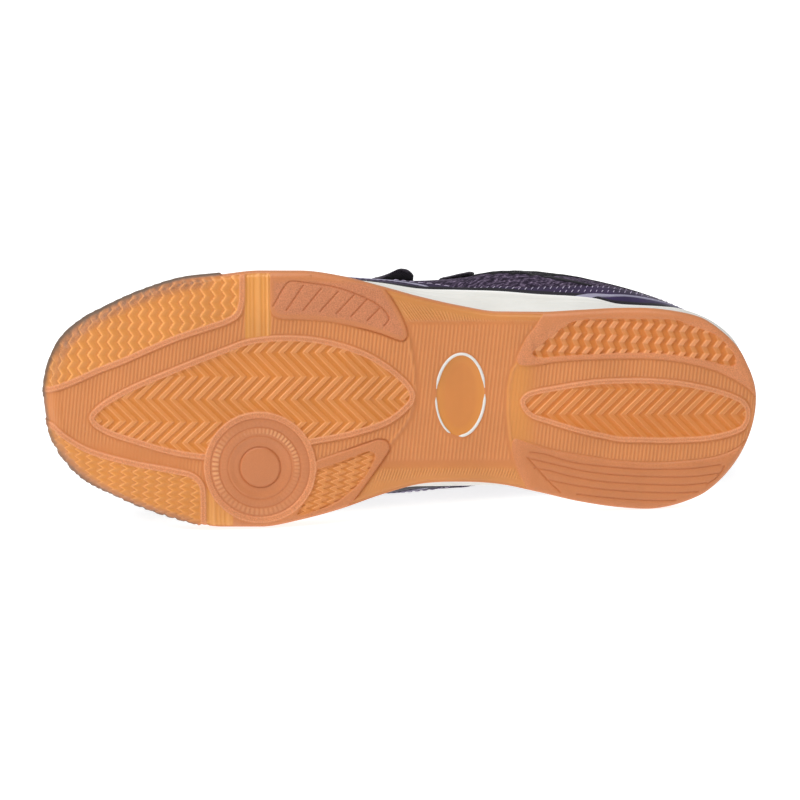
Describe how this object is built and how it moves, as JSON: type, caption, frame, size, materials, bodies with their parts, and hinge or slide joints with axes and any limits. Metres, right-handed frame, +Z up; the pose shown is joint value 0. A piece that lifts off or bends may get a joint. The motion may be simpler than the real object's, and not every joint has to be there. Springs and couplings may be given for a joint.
{
  "type": "indoor court shoe",
  "caption": "Low-cut left indoor court shoe lying on its inner side, with a gum-rubber herringbone sole, white foam midsole and hook-and-loop straps over a mesh upper.",
  "frame": {"origin": "on the floor, under the middle of the lying shoe's bounding box", "axes": "+X from toe to heel along the shoe, +Y from the sole towards the collar, +Z up, which is the shoe's outer side; the shoe lies on its inner side with the sole facing -Y"},
  "size_m": [0.2748, 0.1164, 0.0987],
  "materials": {
    "outsole": "moulded gum rubber, fine tread",
    "midsole": "moulded white foam",
    "upper": "purple mesh with dark overlays",
    "insole": "grey sock liner",
    "tongue": "dark padded textile",
    "straps": "black woven strap"
  },
  "bodies": {
    "root": {"outsole": "outsole", "midsole": "midsole", "upper": "upper", "insole": "insole", "tongue": "tongue", "strap_front": "straps", "strap_rear": "straps"}
  },
  "joints": []
}
